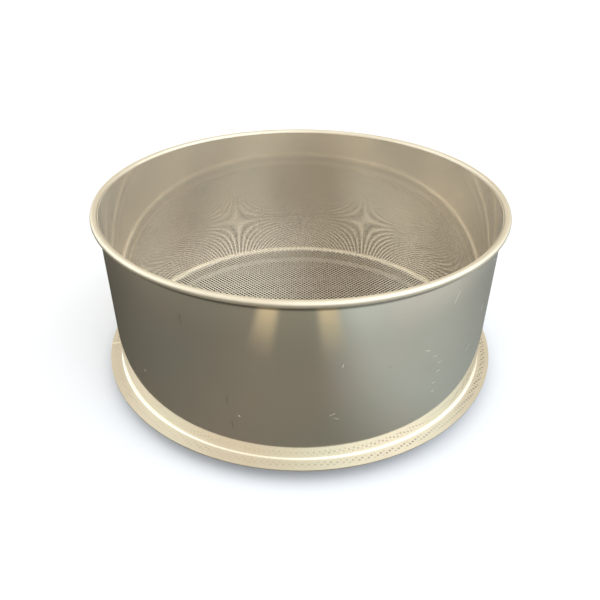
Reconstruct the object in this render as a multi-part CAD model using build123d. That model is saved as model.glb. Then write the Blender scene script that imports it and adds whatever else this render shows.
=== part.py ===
"""Soil sieve: a welded stainless drum with a flat perforated screen across its foot.

Millimetres, +Z up. The origin is the centre of the circle that the base ring stands on.
A rolled sheet makes the drum wall, with a round bar welded round the outside of its mouth and a
flat flange welded round the outside of its foot. The screen lies under the wall and the flange,
and is clamped there by the base ring, a Z-section hoop whose inward lip is what the sieve
stands on.
"""
from build123d import *
import math
import os

# Driving dimensions
DRUM_OD = 400.0
SHEET = 1.0                # drum wall and foot flange
SCREEN_T = 0.5
RING_SHEET = 1.2           # base ring
FLANGE_OD = 426.6
FLANGE_TOP_Z = 16.0        # upper face of the foot flange
BAR_D = 6.5                # round bar at the mouth
BAR_ABOVE_FLANGE = 167.5   # bar's centre over the flange's upper face
WALL_ABOVE_BAR = 0.4       # wall's top edge over the bar's centre
RING_WEB_R = 192.0         # inner face of the base ring's upright web
RING_LIP_R = 187.2         # inner edge of the base ring's inward lip
RING_TOP_R = 206.0         # outer edge of the base ring's top flange
RING_BEND = 1.2            # inner radius of the base ring's two bends
FOOT_WELD_LEG = 1.8        # weld between wall and flange
RIM_WELD_DROP = 2.2        # from the bar's centre down to the top of its weld
RIM_WELD_LEG = 1.8
BAR_JOINT_GAP = 1.6        # butt joint of the bar, filled with weld
JOINT_DRESSED = 0.1        # how far that weld is dressed below the bar's surface
SEAM_W = 3.0               # width of a dressed seam weld
SEAM_PROUD = 0.25          # how far a seam weld stands off its sheet
BAR_JOINT_AT = -148.5      # degrees about +Z from +X
DRUM_SEAM_AT = -171.5
RING_SEAM_AT = 100.0

# Worked out from them
DRUM_R = DRUM_OD / 2
FLANGE_R = FLANGE_OD / 2
FLANGE_UNDER_Z = FLANGE_TOP_Z - SHEET
SCREEN_UNDER_Z = FLANGE_UNDER_Z - SCREEN_T
BAR_R = BAR_D / 2
BAR_Z = FLANGE_TOP_Z + BAR_ABOVE_FLANGE
BAR_RING_R = DRUM_R + BAR_R
WALL_TOP_Z = BAR_Z + WALL_ABOVE_BAR
RIM_WELD_TOP_Z = BAR_Z - RIM_WELD_DROP
RIM_WELD_LOW_Z = RIM_WELD_TOP_Z - RIM_WELD_LEG
RING_WEB_OUTER_R = RING_WEB_R + RING_SHEET
DIAGONAL = math.sqrt(0.5)


def point(x, z):
    return (x, 0, z)


def turned_ring(edges, sweep=360):
    """Turn an outline drawn in the XZ plane about the Z axis."""
    return revolve(make_face(edges), axis=Axis.Z, revolution_arc=sweep)


def box_ring(inner, outer, low, high, sweep=360):
    """Ring, or an arc of one, with a rectangular section."""
    corners = [point(inner, low), point(outer, low), point(outer, high), point(inner, high)]
    return turned_ring(Polyline(corners, close=True), sweep)


def dressed_bead(inner, outer, low, high, radius, at):
    """Narrow weld bead centred on the angle at, SEAM_W wide at the given radius."""
    sweep = math.degrees(SEAM_W / radius)
    return box_ring(inner, outer, low, high, sweep).rotate(Axis.Z, at - sweep / 2)


def drum_wall():
    """Rolled wall, from the screen up to just over the bar's centre."""
    return box_ring(DRUM_R - SHEET, DRUM_R, FLANGE_UNDER_Z, WALL_TOP_Z)


def wall_seam_weld():
    """Bead along the drum's upright seam, outside, between the foot and rim welds."""
    low = FLANGE_TOP_Z + FOOT_WELD_LEG
    return dressed_bead(DRUM_R, DRUM_R + SEAM_PROUD, low, RIM_WELD_LOW_Z, DRUM_R, DRUM_SEAM_AT)


def foot_flange():
    """Flat ring round the outside of the wall's foot."""
    return box_ring(DRUM_R, FLANGE_R, FLANGE_UNDER_Z, FLANGE_TOP_Z)


def flange_seam_weld():
    """Bead across the flange's own butt joint, on its upper face."""
    low, high = FLANGE_TOP_Z, FLANGE_TOP_Z + SEAM_PROUD
    return dressed_bead(DRUM_R + FOOT_WELD_LEG, FLANGE_R, low, high, DRUM_R, DRUM_SEAM_AT)


def foot_fillet_weld():
    """Weld in the corner between the wall and the flange."""
    corners = [
        point(DRUM_R, FLANGE_TOP_Z), point(DRUM_R + FOOT_WELD_LEG, FLANGE_TOP_Z),
        point(DRUM_R, FLANGE_TOP_Z + FOOT_WELD_LEG),
    ]
    return turned_ring(Polyline(corners, close=True))


def bar_arc(start, sweep, radius):
    """Arc of round bar on the bar's own circle."""
    section = Plane.XZ * Pos(BAR_RING_R, BAR_Z) * Circle(radius)
    return revolve(section, axis=Axis.Z, revolution_arc=sweep).rotate(Axis.Z, start)


def rim_bar():
    """Round bar bent to a hoop round the wall's mouth, with one butt joint."""
    gap = math.degrees(BAR_JOINT_GAP / BAR_RING_R)
    return bar_arc(BAR_JOINT_AT + gap / 2, 360 - gap, BAR_R)


def rim_joint_weld():
    """Weld that fills the bar's butt joint."""
    gap = math.degrees(BAR_JOINT_GAP / BAR_RING_R)
    return bar_arc(BAR_JOINT_AT - gap / 2, gap, BAR_R - JOINT_DRESSED)


def rim_fillet_weld():
    """Weld in the crevice under the bar, against the wall."""
    reach = BAR_R - math.sqrt(BAR_R ** 2 - RIM_WELD_DROP ** 2)
    corners = [
        point(DRUM_R, RIM_WELD_TOP_Z), point(DRUM_R, RIM_WELD_LOW_Z),
        point(DRUM_R + reach, RIM_WELD_TOP_Z),
    ]
    return turned_ring(Polyline(corners, close=True))


def screen():
    """Screen blank, as wide as the flange."""
    upright = (Align.CENTER, Align.CENTER, Align.MIN)
    return Pos(0, 0, SCREEN_UNDER_Z) * Cylinder(FLANGE_R, SCREEN_T, align=upright)


def base_ring():
    """Z-section hoop: flange turned out under the screen, upright web, lip turned in as the foot."""
    t, bend, over = RING_SHEET, RING_BEND, RING_BEND + RING_SHEET
    inner, outer, top = RING_WEB_R, RING_WEB_OUTER_R, SCREEN_UNDER_Z
    high_x, high_z = outer + bend, top - over      # centre of the upper bend
    low_x, low_z = inner - bend, over              # centre of the lower bend
    edges = [
        Line(point(RING_TOP_R, top), point(high_x, top)),
        ThreePointArc(point(high_x, top),
                      point(high_x - over * DIAGONAL, high_z + over * DIAGONAL),
                      point(inner, high_z)),
        Line(point(inner, high_z), point(inner, low_z)),
        ThreePointArc(point(inner, low_z),
                      point(low_x + bend * DIAGONAL, low_z - bend * DIAGONAL),
                      point(low_x, t)),
        Line(point(low_x, t), point(RING_LIP_R, t)),
        Line(point(RING_LIP_R, t), point(RING_LIP_R, 0)),
        Line(point(RING_LIP_R, 0), point(low_x, 0)),
        ThreePointArc(point(low_x, 0),
                      point(low_x + over * DIAGONAL, low_z - over * DIAGONAL),
                      point(outer, low_z)),
        Line(point(outer, low_z), point(outer, high_z)),
        ThreePointArc(point(outer, high_z),
                      point(high_x - bend * DIAGONAL, high_z + bend * DIAGONAL),
                      point(high_x, top - t)),
        Line(point(high_x, top - t), point(RING_TOP_R, top - t)),
        Line(point(RING_TOP_R, top - t), point(RING_TOP_R, top)),
    ]
    return turned_ring(edges)


def base_ring_seam_weld():
    """Bead over the base ring's butt seam, outside its web."""
    outer = RING_WEB_OUTER_R
    clear = RING_BEND + RING_SHEET
    high = SCREEN_UNDER_Z - clear
    return dressed_bead(outer, outer + SEAM_PROUD, clear, high, outer, RING_SEAM_AT)


NODES = {
    "drum_wall": drum_wall,
    "wall_seam_weld": wall_seam_weld,
    "foot_flange": foot_flange,
    "flange_seam_weld": flange_seam_weld,
    "foot_fillet_weld": foot_fillet_weld,
    "rim_bar": rim_bar,
    "rim_joint_weld": rim_joint_weld,
    "rim_fillet_weld": rim_fillet_weld,
    "screen": screen,
    "base_ring": base_ring,
    "base_ring_seam_weld": base_ring_seam_weld,
}

os.makedirs("parts", exist_ok=True)
for name, make in NODES.items():
    export_step(make(), f"parts/{name}.step")
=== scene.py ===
"""Looks of the soil sieve: a perforated screen, polished and satin stainless, and a plain studio."""
import math
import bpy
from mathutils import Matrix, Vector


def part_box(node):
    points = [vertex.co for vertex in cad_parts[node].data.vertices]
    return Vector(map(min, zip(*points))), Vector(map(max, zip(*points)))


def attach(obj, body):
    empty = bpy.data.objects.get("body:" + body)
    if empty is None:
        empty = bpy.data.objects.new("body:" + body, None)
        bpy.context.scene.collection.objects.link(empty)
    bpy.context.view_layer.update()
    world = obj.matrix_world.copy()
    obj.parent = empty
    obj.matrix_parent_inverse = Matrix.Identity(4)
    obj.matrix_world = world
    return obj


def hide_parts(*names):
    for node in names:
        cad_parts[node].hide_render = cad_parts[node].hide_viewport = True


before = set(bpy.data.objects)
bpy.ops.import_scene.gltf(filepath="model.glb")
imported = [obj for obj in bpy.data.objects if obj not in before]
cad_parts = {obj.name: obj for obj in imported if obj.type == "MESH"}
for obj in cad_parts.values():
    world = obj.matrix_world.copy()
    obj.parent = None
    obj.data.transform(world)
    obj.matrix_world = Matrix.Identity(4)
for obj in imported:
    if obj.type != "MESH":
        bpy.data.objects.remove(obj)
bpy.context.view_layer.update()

from types import SimpleNamespace

import bpy
from mathutils import Vector

# Places and sizes read from the frame
wall_lo, wall_hi = (Vector(c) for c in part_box("drum_wall"))
flange_lo, flange_hi = (Vector(c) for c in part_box("foot_flange"))
screen_lo, screen_hi = (Vector(c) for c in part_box("screen"))
ring_lo = Vector(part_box("base_ring")[0])
DRUM_R = (wall_hi.x - wall_lo.x) / 2
FLANGE_R = (flange_hi.x - flange_lo.x) / 2
FLANGE_TOP = flange_hi.z
SHEET = flange_hi.z - flange_lo.z
SCREEN_R = (screen_hi.x - screen_lo.x) / 2
SCREEN_TOP, SCREEN_UNDER = screen_hi.z, screen_lo.z
FLOOR_Z = ring_lo.z

# Perforation: round holes on a square lattice turned 45 degrees
HOLE_PITCH = 0.004
HOLE_R = 0.0015
HOLE_SIDES = 12
BLANK_MARGIN = 0.0004      # least plain metal between a cell of the lattice and the sheet's edge

# Turned pieces
EDGE_BREAK = 0.00015       # bevel at the wall's top edge
WALL_SEGMENTS = 720
WELD_SEGMENTS = 360
WELD_STEPS = 8             # flats across the foot weld's hollow face
CREASE = math.radians(30)  # edges sharper than this stay crisp

# Colours, linear; a mottled one is a pair
WALL_OUTSIDE = ((0.82, 0.765, 0.70), (0.74, 0.755, 0.69))
WALL_INSIDE = ((0.87, 0.80, 0.695), (0.82, 0.775, 0.69))
SMUDGE = (0.55, 0.52, 0.46)
SCRATCH = (0.86, 0.85, 0.82)
# Painted shade on the wall's outside, under the rim bar
RIM_SHADE = (0.10, 0.09, 0.075)
LIGHT_SCUFF, DARK_SCUFF = (0.90, 0.88, 0.85), (0.16, 0.14, 0.12)
FLANGE = ((0.58, 0.53, 0.435), (0.66, 0.61, 0.52))
FLANGE_GRAIN, FLANGE_PRINT = (0.42, 0.38, 0.32), (0.16, 0.145, 0.13)
# Base ring's lit and shaded copies of one metal: painted light and painted shade
RING_LIT = ((0.90, 0.85, 0.75), (0.96, 0.92, 0.84))
RING_SHADED = ((0.12, 0.105, 0.09), (0.24, 0.215, 0.18))
RIM = ((0.60, 0.555, 0.465), (0.68, 0.64, 0.555))
RIM_WORN = (0.5, 0.48, 0.44)
SCREEN = ((0.47, 0.44, 0.40), (0.55, 0.52, 0.475))
# Screen: painted highlight next to the wall, painted shade inside the holes
SCREEN_HIGHLIGHT, HOLE_SHADE = (0.94, 0.89, 0.79), (0.03, 0.026, 0.025)
WELD = ((0.78, 0.74, 0.64), (0.86, 0.83, 0.76))
# Painted shade in the crevice under the rim bar
CREVICE_SHADE = ((0.06, 0.05, 0.042), (0.22, 0.19, 0.15))

# Small marks on the drum's outside: degrees round from the front, height as a share of the
# wall, length and width in millimetres, lean in degrees from level, and how light each is
SCUFFS = (
    (-29, 0.80, 15, 0.7, 97, -1), (-18, 0.36, 14, 0.8, 84, -1), (-17, 0.20, 13, 0.8, 95, -1),
    (22, 0.56, 5, 0.5, 110, -1), (8, 0.31, 8, 0.5, 25, 1), (9, 0.28, 7, 0.4, -20, 1),
    (10, 0.62, 5, 0.5, 80, 1), (33, 0.58, 9, 0.5, -24, 1), (36, 0.52, 8, 0.5, -8, 1),
    (38, 0.46, 8, 0.5, -5, 1), (38, 0.40, 7, 0.5, -3, 1), (37, 0.33, 6, 0.4, 5, 1),
    (37, 0.27, 6, 0.4, -2, 1), (41, 0.84, 17, 0.5, 62, 1), (58, 0.60, 8, 0.9, 40, 1),
    (62, 0.86, 6, 0.5, 120, 1), (52, 0.40, 12, 0.4, 50, 1), (-46, 0.30, 3, 1.2, 10, 1),
    (-15, 0.27, 3, 1.2, -30, 1),
)

# Camera, in drum radii from the frame's origin, with its roll in radians
CAMERA_LENS = 36.38
CAMERA_SENSOR = 36.0
CAMERA_PLACE = (0.0, -2.881, 2.148)
CAMERA_AIM = (-0.0007, 0.0, 0.275)
CAMERA_ROLL = 0.0056

# Floor: pale to the camera; to the metal, greys from left to right with two tan bands in front,
# painted pools of light
FLOOR_SIDE = 30.0
FLOOR_SEEN = (0.74, 0.78, 0.88)
FLOOR_LEFT, FLOOR_MIDDLE = (0.105, 0.096, 0.082), (0.13, 0.117, 0.097)
FLOOR_RIGHT = (0.30, 0.315, 0.32)
FLOOR_LIGHT_POOL = (0.37, 0.30, 0.205)
BAND_SPACING = 0.193       # between the two bands' middles
BAND_SHIFT = 0.152

# Dark card under the screen: painted shade on the floor
SHADE_CARD = (0.02, 0.016, 0.018)
SHADE_CARD_R = DRUM_R * 0.93
SHADE_CARD_LIFT = 0.0005         # over the floor

# Sky's colour, and its zones: where each one's middle is, its colour, and the cosines at its
# outer and inner edge
SKY = (1.25, 1.17, 1.02)
SKY_SEEN = (1.0, 1.0, 1.0)
SKY_ZONES = (
    ((0.0, 1.0, 0.5), (0.95, 0.85, 0.68), 0.3, 0.95),
    ((0.0, -0.35, 1.0), (1.35, 1.25, 1.06), 0.6, 1.0),
    ((0.87, -0.5, 0.22), (2.5, 2.6, 2.55), 0.2, 1.0),
    ((-0.95, 0.2, 0.35), (2.0, 2.04, 1.93), 0.6, 1.0),
)


# ---------------------------------------------------------------- shader helpers

def linked(value):
    return hasattr(value, "links")


def rgba(colour):
    return colour if linked(colour) else (*colour, 1.0)


class Graph:
    """Short calls for building one node tree."""

    def __init__(self, tree):
        self.tree = tree
        self.tree.nodes.clear()

    def node(self, kind, **values):
        made = self.tree.nodes.new(kind)
        for key, value in values.items():
            setattr(made, key, value)
        return made

    def link(self, source, target):
        self.tree.links.new(source, target)

    def put(self, socket, value):
        if linked(value):
            self.link(value, socket)
        else:
            socket.default_value = value

    def math(self, operation, a, b=0.0):
        made = self.node("ShaderNodeMath", operation=operation)
        self.put(made.inputs[0], a)
        self.put(made.inputs[1], b)
        return made.outputs[0]

    def mix(self, factor, a, b):
        made = self.node("ShaderNodeMix", data_type="RGBA")
        self.put(made.inputs["Factor"], factor)
        self.put(made.inputs[6], rgba(a))
        self.put(made.inputs[7], rgba(b))
        return made.outputs[2]

    def span(self, value, low, high, to_low=0.0, to_high=1.0):
        """Smooth change from to_low, at low, to to_high, at high."""
        made = self.node("ShaderNodeMapRange", interpolation_type="SMOOTHSTEP")
        self.put(made.inputs["Value"], value)
        for name, number in (("From Min", low), ("From Max", high),
                             ("To Min", to_low), ("To Max", to_high)):
            made.inputs[name].default_value = number
        return made.outputs["Result"]

    def noise(self, vector, scale, detail=2.0, roughness=0.5):
        made = self.node("ShaderNodeTexNoise")
        self.put(made.inputs["Vector"], vector)
        made.inputs["Scale"].default_value = scale
        made.inputs["Detail"].default_value = detail
        made.inputs["Roughness"].default_value = roughness
        return made.outputs["Fac"]

    def combine(self, x, y, z):
        made = self.node("ShaderNodeCombineXYZ")
        for socket, value in zip(made.inputs, (x, y, z)):
            self.put(socket, value)
        return made.outputs[0]

    def bump(self, height, strength, distance, after=None):
        made = self.node("ShaderNodeBump")
        made.inputs["Strength"].default_value = strength
        made.inputs["Distance"].default_value = distance
        self.put(made.inputs["Height"], height)
        if after is not None:
            self.link(after, made.inputs["Normal"])
        return made.outputs["Normal"]

    def near_hole(self, x, y):
        """Distance to the nearest hole's centre of the screen's lattice, endless in x and y."""
        parts = []
        for sign in ("ADD", "SUBTRACT"):
            along = self.math("MULTIPLY", self.math(sign, x, y), 1 / (math.sqrt(2) * HOLE_PITCH))
            away = self.math("PINGPONG", along, 0.5)
            parts.append(self.math("MULTIPLY", away, away))
        return self.math("MULTIPLY", self.math("SQRT", self.math("ADD", *parts)), HOLE_PITCH)

    def place(self):
        """Place in the frame in metres, with the angle and the distance round Z."""
        coords = self.node("ShaderNodeTexCoord").outputs["Object"]
        split = self.node("ShaderNodeSeparateXYZ")
        self.link(coords, split.inputs[0])
        x, y, z = split.outputs
        squares = self.math("ADD", self.math("MULTIPLY", x, x), self.math("MULTIPLY", y, y))
        return SimpleNamespace(coords=coords, x=x, y=y, z=z, angle=self.math("ARCTAN2", y, x),
                               radius=self.math("SQRT", squares))


def metal(name, metallic=1.0):
    """A metal material, its graph, its shader and the place in the frame, ready for detail."""
    material = bpy.data.materials.new(name)
    material.use_nodes = True
    g = Graph(material.node_tree)
    shader = g.node("ShaderNodeBsdfPrincipled")
    output = g.node("ShaderNodeOutputMaterial")
    g.link(shader.outputs[0], output.inputs["Surface"])
    shader.inputs["Metallic"].default_value = metallic
    return material, g, shader, g.place()


def matt(name):
    """A diffuse material, its graph and its shader."""
    material = bpy.data.materials.new(name)
    material.use_nodes = True
    g = Graph(material.node_tree)
    diffuse = g.node("ShaderNodeBsdfDiffuse")
    output = g.node("ShaderNodeOutputMaterial")
    g.link(diffuse.outputs[0], output.inputs["Surface"])
    return material, g, diffuse


# ---------------------------------------------------------------- materials

def scratches(g, around, height):
    """Mask of short fine scratches, 1 on a scratch, on the wall unrolled to around and height."""
    layers = []
    for slope, layer in ((0.5, 2.0), (-0.35, 7.3), (1.6, 13.1)):
        tilt = g.math("ADD", around, g.math("MULTIPLY", height, slope))
        across = g.math("ADD", g.math("MULTIPLY", around, -slope), height)
        at = g.combine(g.math("MULTIPLY", tilt, 14.4), g.math("MULTIPLY", across, 90.0), layer)
        lines = g.node("ShaderNodeTexVoronoi", feature="DISTANCE_TO_EDGE")
        g.link(at, lines.inputs["Vector"])
        lines.inputs["Scale"].default_value = 1.0
        line = g.span(lines.outputs["Distance"], 0.0, 0.03, 1.0, 0.0)
        where = g.span(g.noise(at, 0.55, 3.0), 0.68, 0.74)
        layers.append(g.math("MULTIPLY", line, where))
    return g.math("MAXIMUM", g.math("MAXIMUM", layers[0], layers[1]), layers[2])


def scuff_marks(g, around, z, outside):
    """Masks of the light and of the dark scuffs on the drum's outside."""
    masks = {1: 0.0, -1: 0.0}
    for degrees, share, length, width, lean, tone in SCUFFS:
        middle = math.radians(degrees - 90) * DRUM_R
        height = FLANGE_TOP + share * (wall_hi.z - FLANGE_TOP)
        cos, sin = math.cos(math.radians(lean)), math.sin(math.radians(lean))
        s, t = g.math("SUBTRACT", around, middle), g.math("SUBTRACT", z, height)
        along = g.math("ADD", g.math("MULTIPLY", s, cos), g.math("MULTIPLY", t, sin))
        across = g.math("SUBTRACT", g.math("MULTIPLY", t, cos), g.math("MULTIPLY", s, sin))
        half = length / 2000
        bend = g.math("MULTIPLY", g.math("MULTIPLY", along, along), 0.12 / half)
        across = g.math("ADD", across, bend)
        ends = g.span(g.math("ABSOLUTE", along), half * 0.4, half, 1.0, 0.0)
        sides = g.span(g.math("ABSOLUTE", across), 0.0, width / 1000, 1.0, 0.0)
        masks[tone] = g.math("MAXIMUM", g.math("MULTIPLY", ends, sides), masks[tone])
    return [g.math("MULTIPLY", masks[tone], outside) for tone in (1, -1)]


def wall_metal():
    """Bright-rolled sheet, nearly a mirror close by: haze, smudges, scratches, painted shade under
    the rim.
    """
    material, g, shader, at = metal("drum_sheet")
    around = g.math("MULTIPLY", at.angle, DRUM_R)
    mottle = g.noise(at.coords, 16.0, 4.0, 0.6)
    smudge = g.span(g.noise(at.coords, 26.0, 5.0, 0.62), 0.54, 0.76)
    marks = scratches(g, around, at.z)
    inside = g.span(at.radius, DRUM_R - SHEET * 0.6, DRUM_R - SHEET * 0.4, 1.0, 0.0)
    outside = g.math("SUBTRACT", 1.0, inside)
    light, dark = scuff_marks(g, around, at.z, outside)
    # Painted shade: the wall's outside is darkened in a band up under the rim bar
    rim_shade = g.math("MULTIPLY", g.span(at.z, wall_hi.z - 0.0098, wall_hi.z - 0.0078), outside)

    tint = g.span(g.noise(at.coords, 9.0, 2.0), 0.3, 0.7)
    colour = g.mix(inside, g.mix(tint, *WALL_OUTSIDE), g.mix(tint, *WALL_INSIDE))
    for mask, strength, tone in ((smudge, 0.14, SMUDGE), (marks, 0.25, SCRATCH), (rim_shade, 0.75, RIM_SHADE),
                                 (dark, 0.6, DARK_SCUFF), (light, 0.6, LIGHT_SCUFF)):
        colour = g.mix(g.math("MULTIPLY", mask, strength), colour, tone)
    g.put(shader.inputs["Base Color"], colour)

    metallic = g.span(inside, 0.0, 1.0, 0.95, 0.80)
    metallic = g.math("SUBTRACT", metallic, g.math("MULTIPLY", light, 0.4))
    g.put(shader.inputs["Metallic"], metallic)
    shader.inputs["Coat Weight"].default_value = 0.5
    shader.inputs["Coat Roughness"].default_value = 0.5
    shader.inputs["Coat IOR"].default_value = 1.6
    rough = g.span(mottle, 0.3, 0.7, 0.055, 0.085)
    for mask, more in ((smudge, 0.04), (outside, 0.01), (marks, 0.15), (light, 0.4)):
        rough = g.math("ADD", rough, g.math("MULTIPLY", mask, more))
    g.put(shader.inputs["Roughness"], rough)
    waves = g.noise(at.coords, 8.0, 1.0)
    g.link(g.bump(waves, 1.0, 0.0005), shader.inputs["Normal"])
    return material


def flange_metal():
    """Pale satin flange, printed with the screen's holes where the sheets were pressed together."""
    material, g, shader, at = metal("flange_sheet", 0.8)
    mottle = g.noise(at.coords, 60.0, 4.0, 0.6)
    sandy = g.noise(at.coords, 700.0, 2.0, 0.6)
    middle = (DRUM_R + FLANGE_R) / 2
    offset = g.math("ABSOLUTE", g.math("SUBTRACT", at.radius, middle))
    band = g.span(offset, 0.0014, 0.0032, 1.0, 0.0)
    printed = g.span(g.near_hole(at.x, at.y), HOLE_R * 0.55, HOLE_R * 0.95, 1.0, 0.0)
    patchy = g.span(g.noise(at.coords, 14.0, 3.0), 0.38, 0.66, 0.25, 1.0)
    to_right = g.span(at.x, -0.05, DRUM_R, 0.55, 1.0)
    pressed = g.math("MULTIPLY", g.math("MULTIPLY", band, patchy),
                     g.math("MULTIPLY", printed, to_right))
    colour = g.mix(mottle, *FLANGE)
    colour = g.mix(g.span(sandy, 0.55, 0.75, 0.0, 0.25), colour, FLANGE_GRAIN)
    colour = g.mix(g.math("MULTIPLY", pressed, 0.8), colour, FLANGE_PRINT)
    g.put(shader.inputs["Base Color"], colour)
    g.put(shader.inputs["Roughness"], g.span(mottle, 0.3, 0.7, 0.40, 0.50))
    grain = g.bump(sandy, 0.2, 0.00006)
    g.link(g.bump(pressed, 0.6, 0.0002, grain), shader.inputs["Normal"])
    return material


def ring_metal():
    """Base ring: painted light on its lip and top, and painted shade on its upright web."""
    material, g, shader, at = metal("base_ring")
    mottle = g.noise(at.coords, 80.0, 4.0, 0.6)
    lip = g.span(at.z, 0.0030, 0.0045, 1.0, 0.0)
    top = g.span(at.z, SCREEN_UNDER - 0.0009, SCREEN_UNDER - 0.0002)
    # Painted light on the lip and the top, painted shade on the web, chosen by height
    lit_faces = g.math("MAXIMUM", lip, top)
    colour = g.mix(lit_faces, g.mix(mottle, *RING_SHADED), g.mix(mottle, *RING_LIT))
    g.put(shader.inputs["Base Color"], colour)
    g.put(shader.inputs["Metallic"], g.span(lit_faces, 0.0, 1.0, 0.75, 0.2))
    g.put(shader.inputs["Roughness"], g.span(mottle, 0.3, 0.7, 0.38, 0.50))
    return material


def rim_metal():
    """Drawn bar: bright, with faint lines along its length and dull rubbed patches."""
    material, g, shader, at = metal("rim_steel", 0.75)
    across = g.math("ADD", g.math("MULTIPLY", at.radius, 2400.0), g.math("MULTIPLY", at.y, 30.0))
    lines_at = g.combine(g.math("MULTIPLY", at.x, 30.0), across, g.math("MULTIPLY", at.z, 2400.0))
    lines = g.noise(lines_at, 1.0, 3.0)
    mottle = g.noise(at.coords, 45.0, 4.0)
    worn = g.span(g.noise(at.coords, 300.0, 3.0), 0.55, 0.75)
    colour = g.mix(g.math("MULTIPLY", worn, 0.3), g.mix(mottle, *RIM), RIM_WORN)
    g.put(shader.inputs["Base Color"], colour)
    g.put(shader.inputs["Roughness"], g.span(lines, 0.3, 0.7, 0.34, 0.48))
    g.link(g.bump(lines, 0.12, 0.00005), shader.inputs["Normal"])
    return material


def screen_metal():
    """Punched sheet: satin, painted shade inside the holes and a painted highlight next to the wall.
    """
    material, g, shader, at = metal("screen_sheet")
    mottle = g.noise(at.coords, 30.0, 4.0)
    fine = g.noise(at.coords, 900.0, 2.0)
    # Painted highlight: the band of the sheet next to the wall is coloured light and made less
    # metallic
    joint = g.span(at.radius, DRUM_R - 0.0052, DRUM_R - 0.0042)
    # Painted shade: the holes' walls and the top face at their edge are darkened
    inside = g.span(g.near_hole(at.x, at.y), HOLE_R * 0.99, HOLE_R * 1.04, 1.0, 0.0)
    colour = g.mix(joint, g.mix(mottle, *SCREEN), SCREEN_HIGHLIGHT)
    g.put(shader.inputs["Base Color"], g.mix(inside, colour, HOLE_SHADE))
    g.put(shader.inputs["Metallic"], g.span(joint, 0.0, 1.0, 0.9, 0.3))
    rough = g.math("ADD", g.span(fine, 0.3, 0.7, 0.24, 0.36), g.math("MULTIPLY", inside, 0.3))
    g.put(shader.inputs["Roughness"], rough)
    g.link(g.bump(fine, 0.2, 0.0001), shader.inputs["Normal"])
    return material


def weld_metal():
    """Dressed weld: brighter than the sheet, with fine ripples."""
    material, g, shader, at = metal("weld")
    ripple = g.noise(at.coords, 500.0, 2.0)
    g.put(shader.inputs["Base Color"], g.mix(ripple, *WELD))
    g.put(shader.inputs["Roughness"], g.span(ripple, 0.3, 0.7, 0.16, 0.28))
    g.link(g.bump(ripple, 0.15, 0.00006), shader.inputs["Normal"])
    return material


def crevice_shade_metal():
    """Weld in the crevice under the rim bar, painted dark as the crevice's shade."""
    material, g, shader, at = metal("crevice_weld_shade")
    ripple = g.noise(at.coords, 400.0, 3.0)
    # Painted shade: the weld is coloured dark for the shade in the crevice
    g.put(shader.inputs["Base Color"], g.mix(ripple, *CREVICE_SHADE))
    shader.inputs["Roughness"].default_value = 0.5
    g.link(g.bump(ripple, 0.4, 0.0001), shader.inputs["Normal"])
    return material


# ---------------------------------------------------------------- perforated screen

def add_piece(name, mesh):
    piece = bpy.data.objects.new(name, mesh)
    bpy.context.scene.collection.objects.link(piece)
    return piece


def lattice_centres():
    """Centres of the holes whose whole cell lies on the sheet, in half diagonals of a cell."""
    half = HOLE_PITCH / math.sqrt(2)
    limit = SCREEN_R - BLANK_MARGIN - half
    reach = int(limit / half) + 1
    for i in range(-reach, reach + 1):
        for j in range(-reach, reach + 1):
            x, y = i * half, j * half
            if (i + j) % 2 == 0 and math.hypot(x, y) <= limit:
                yield i, j


def perforated_quarter(quarter):
    """Flat pattern of one quarter: cells with a round hole, as points and faces."""
    half = HOLE_PITCH / math.sqrt(2)
    points, index, faces = [], {}, []

    def corner(i, j):
        if (i, j) not in index:
            index[i, j] = len(points)
            points.append((i * half, j * half))
        return index[i, j]

    for i, j in lattice_centres():
        if (i >= 0) + 2 * (j >= 0) != quarter:
            continue
        corners = [corner(i + 1, j), corner(i, j + 1), corner(i - 1, j), corner(i, j - 1)]
        first = len(points)
        for k in range(HOLE_SIDES):
            turn = 2 * math.pi * (k + 0.5) / HOLE_SIDES
            points.append((i * half + HOLE_R * math.cos(turn), j * half + HOLE_R * math.sin(turn)))
        per_side = HOLE_SIDES // 4
        for side in range(4):
            rim = [first + (side * per_side + k) % HOLE_SIDES for k in range(-1, per_side)]
            here, after = corners[side], corners[(side + 1) % 4]
            split = per_side // 2 + 1
            faces += [(here, rim[k + 1], rim[k]) for k in range(split)]
            faces.append((here, after, rim[split]))
            faces += [(after, rim[k + 1], rim[k]) for k in range(split, per_side)]
    return points, faces


def boundary(faces):
    """Directed edges that belong to one face only."""
    edges = set()
    for face in faces:
        for a, b in zip(face, face[1:] + face[:1]):
            edges.add((a, b))
    return [(a, b) for a, b in edges if (b, a) not in edges]


def thick_sheet(name, points, faces):
    """Closed mesh of the flat pattern, between the screen's two faces."""
    count = len(points)
    verts = [(x, y, SCREEN_TOP) for x, y in points] + [(x, y, SCREEN_UNDER) for x, y in points]
    under = [tuple(v + count for v in reversed(face)) for face in faces]
    sides = [(b, a, a + count, b + count) for a, b in boundary(faces)]
    mesh = bpy.data.meshes.new(name)
    mesh.from_pydata(verts, [], list(faces) + under + sides)
    mesh.validate()
    mesh.update()
    return add_piece(name, mesh)


def make_screen(material):
    """Screen in four quarters, which keeps each mesh light."""
    for quarter in range(4):
        points, faces = perforated_quarter(quarter)
        piece = thick_sheet(f"screen_mesh_{quarter}", points, faces)
        piece.data.materials.append(material)
        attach(piece, "root")
        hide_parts("screen")


# ---------------------------------------------------------------- wall and foot weld

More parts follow.
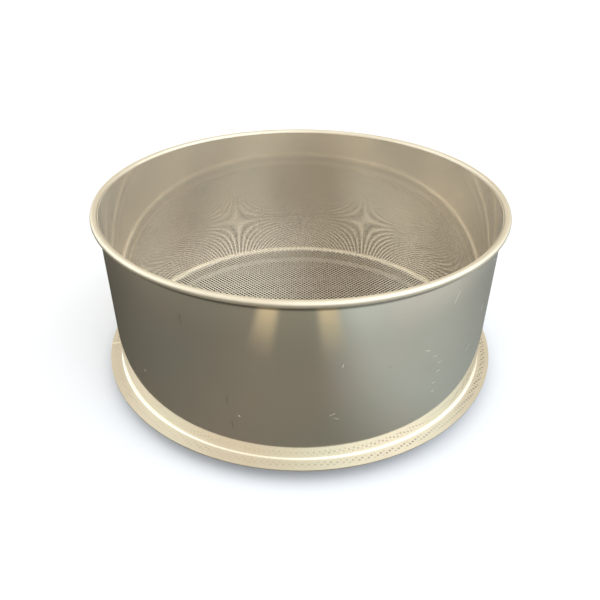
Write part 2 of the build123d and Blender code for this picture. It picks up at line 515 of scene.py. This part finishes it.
def lathe(name, section, segments):
    """Closed ring swept from a closed section of radius and height pairs."""
    count = len(section)
    verts = []
    for k in range(segments):
        turn = 2 * math.pi * k / segments
        verts += [(r * math.cos(turn), r * math.sin(turn), z) for r, z in section]
    faces = []
    for k in range(segments):
        here, after = k * count, (k + 1) % segments * count
        for i in range(count):
            j = (i + 1) % count
            faces.append((here + i, after + i, after + j, here + j))
    mesh = bpy.data.meshes.new(name)
    mesh.from_pydata(verts, [], faces)
    mesh.update()
    mesh.shade_smooth()
    mesh.set_sharp_from_angle(angle=CREASE)
    return add_piece(name, mesh)


def make_wall(material):
    """Drum wall, turned so finely that its reflections run round it without a step."""
    inner = DRUM_R - SHEET
    section = [(inner, wall_lo.z), (DRUM_R, wall_lo.z), (DRUM_R, wall_hi.z - EDGE_BREAK),
               (DRUM_R - EDGE_BREAK, wall_hi.z), (inner + EDGE_BREAK, wall_hi.z),
               (inner, wall_hi.z - EDGE_BREAK)]
    piece = lathe("wall_mesh", section, WALL_SEGMENTS)
    piece.data.materials.append(material)
    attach(piece, "root")
    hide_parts("drum_wall")


def make_foot_weld(material):
    """Hollow-faced fillet between the drum's foot and the flange."""
    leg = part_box("foot_fillet_weld")[1][0] - DRUM_R
    section = [(DRUM_R, FLANGE_TOP)]
    for k in range(WELD_STEPS + 1):
        turn = math.radians(270 - 90 * k / WELD_STEPS)
        section.append((DRUM_R + leg * (1 + math.cos(turn)), FLANGE_TOP + leg * (1 + math.sin(turn))))
    piece = lathe("foot_weld_mesh", section, WELD_SEGMENTS)
    piece.data.materials.append(material)
    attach(piece, "root")
    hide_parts("foot_fillet_weld")


# ---------------------------------------------------------------- studio

def make_camera():
    """Camera at the photograph's viewing angle, looking down into the drum."""
    data = bpy.data.cameras.new("camera")
    data.lens = CAMERA_LENS
    data.sensor_width = CAMERA_SENSOR
    camera = bpy.data.objects.new("camera", data)
    bpy.context.scene.collection.objects.link(camera)
    place = Vector([part * DRUM_R for part in CAMERA_PLACE])
    aim = Vector([part * DRUM_R for part in CAMERA_AIM])
    camera.location = place
    camera.rotation_euler = (aim - place).to_track_quat("-Z", "Y").to_euler()
    camera.rotation_euler.rotate_axis("Z", CAMERA_ROLL)
    bpy.context.scene.camera = camera


def make_floor():
    """Pale floor, which metal sees as a grey one with painted light: lighter and cooler to the right.
    """
    bpy.ops.mesh.primitive_plane_add(size=FLOOR_SIDE, location=(0, 0, FLOOR_Z))
    floor = bpy.context.object
    floor.name = "floor"
    material, g, diffuse = matt("floor")
    at = g.place()
    grey = g.mix(g.span(at.x, -0.30, -0.05), FLOOR_LEFT, FLOOR_MIDDLE)
    # Painted light: the grey is lighter and cooler to the right
    grey = g.mix(g.span(at.x, 0.02, 0.20), grey, FLOOR_RIGHT)
    # Painted pools of light: two tan bands on the floor in front
    turns = g.math("MULTIPLY", g.math("ADD", at.x, BAND_SHIFT), 2 * math.pi / BAND_SPACING)
    light_pools = g.span(g.math("SINE", turns), 0.1, 1.0)
    light_pools = g.math("MULTIPLY", light_pools, g.span(at.y, -0.46, -0.33, 1.0, 0.0))
    light_pools = g.math("MULTIPLY", light_pools, g.span(g.math("ABSOLUTE", at.x), 0.15, 0.2, 1.0, 0.0))
    grey = g.mix(light_pools, grey, FLOOR_LIGHT_POOL)
    to_back = g.span(at.y, -0.2, 0.12, 1.0, 0.6)
    shade = g.math("MULTIPLY", to_back, g.span(at.radius, 0.36, 0.5, 1.0, 1.4))
    grey = g.mix(shade, (0, 0, 0), grey)
    grey.node.clamp_factor = False      # shade goes over 1, away from the sieve
    seen = g.node("ShaderNodeLightPath").outputs["Is Camera Ray"]
    g.link(g.mix(seen, grey, FLOOR_SEEN), diffuse.inputs["Color"])
    floor.data.materials.append(material)


def make_shade_card():
    """Dark card on the floor inside the base ring, painted shade, so that the screen's holes read
    dark.
    """
    bpy.ops.mesh.primitive_circle_add(vertices=96, radius=SHADE_CARD_R, fill_type="NGON",
                                      location=(0, 0, FLOOR_Z + SHADE_CARD_LIFT))
    shade_card = bpy.context.object
    shade_card.name = "shade_card"
    material, g, diffuse = matt("shade_card")
    g.put(diffuse.inputs["Color"], rgba(SHADE_CARD))
    shade_card.data.materials.append(material)


def make_sky():
    """Soft light from all round: warm behind, cooler and brighter from the right and the left."""
    world = bpy.data.worlds.new("studio")
    bpy.context.scene.world = world
    world.use_nodes = True
    g = Graph(world.node_tree)
    to = g.node("ShaderNodeTexCoord").outputs["Generated"]
    colour = SKY
    for axis, tone, outer, inner in SKY_ZONES:
        dot = g.node("ShaderNodeVectorMath", operation="DOT_PRODUCT")
        g.link(to, dot.inputs[0])
        dot.inputs[1].default_value = Vector(axis).normalized()
        colour = g.mix(g.span(dot.outputs["Value"], outer, inner), colour, tone)
    seen = g.node("ShaderNodeLightPath").outputs["Is Camera Ray"]
    back = g.node("ShaderNodeBackground")
    g.link(g.mix(seen, colour, SKY_SEEN), back.inputs["Color"])
    output = g.node("ShaderNodeOutputWorld")
    g.link(back.outputs[0], output.inputs["Surface"])
    bpy.context.scene.view_settings.view_transform = "Standard"


# ---------------------------------------------------------------- build

def dress(node, material):
    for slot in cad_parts[node].material_slots:
        slot.material = material


weld = weld_metal()
dress("foot_flange", flange_metal())
dress("base_ring", ring_metal())
dress("rim_bar", rim_metal())
dress("rim_fillet_weld", crevice_shade_metal())
for seam in ("wall_seam_weld", "flange_seam_weld", "rim_joint_weld", "base_ring_seam_weld"):
    dress(seam, weld)
make_screen(screen_metal())
make_wall(wall_metal())
make_foot_weld(weld)
make_camera()
make_floor()
make_shade_card()
make_sky()
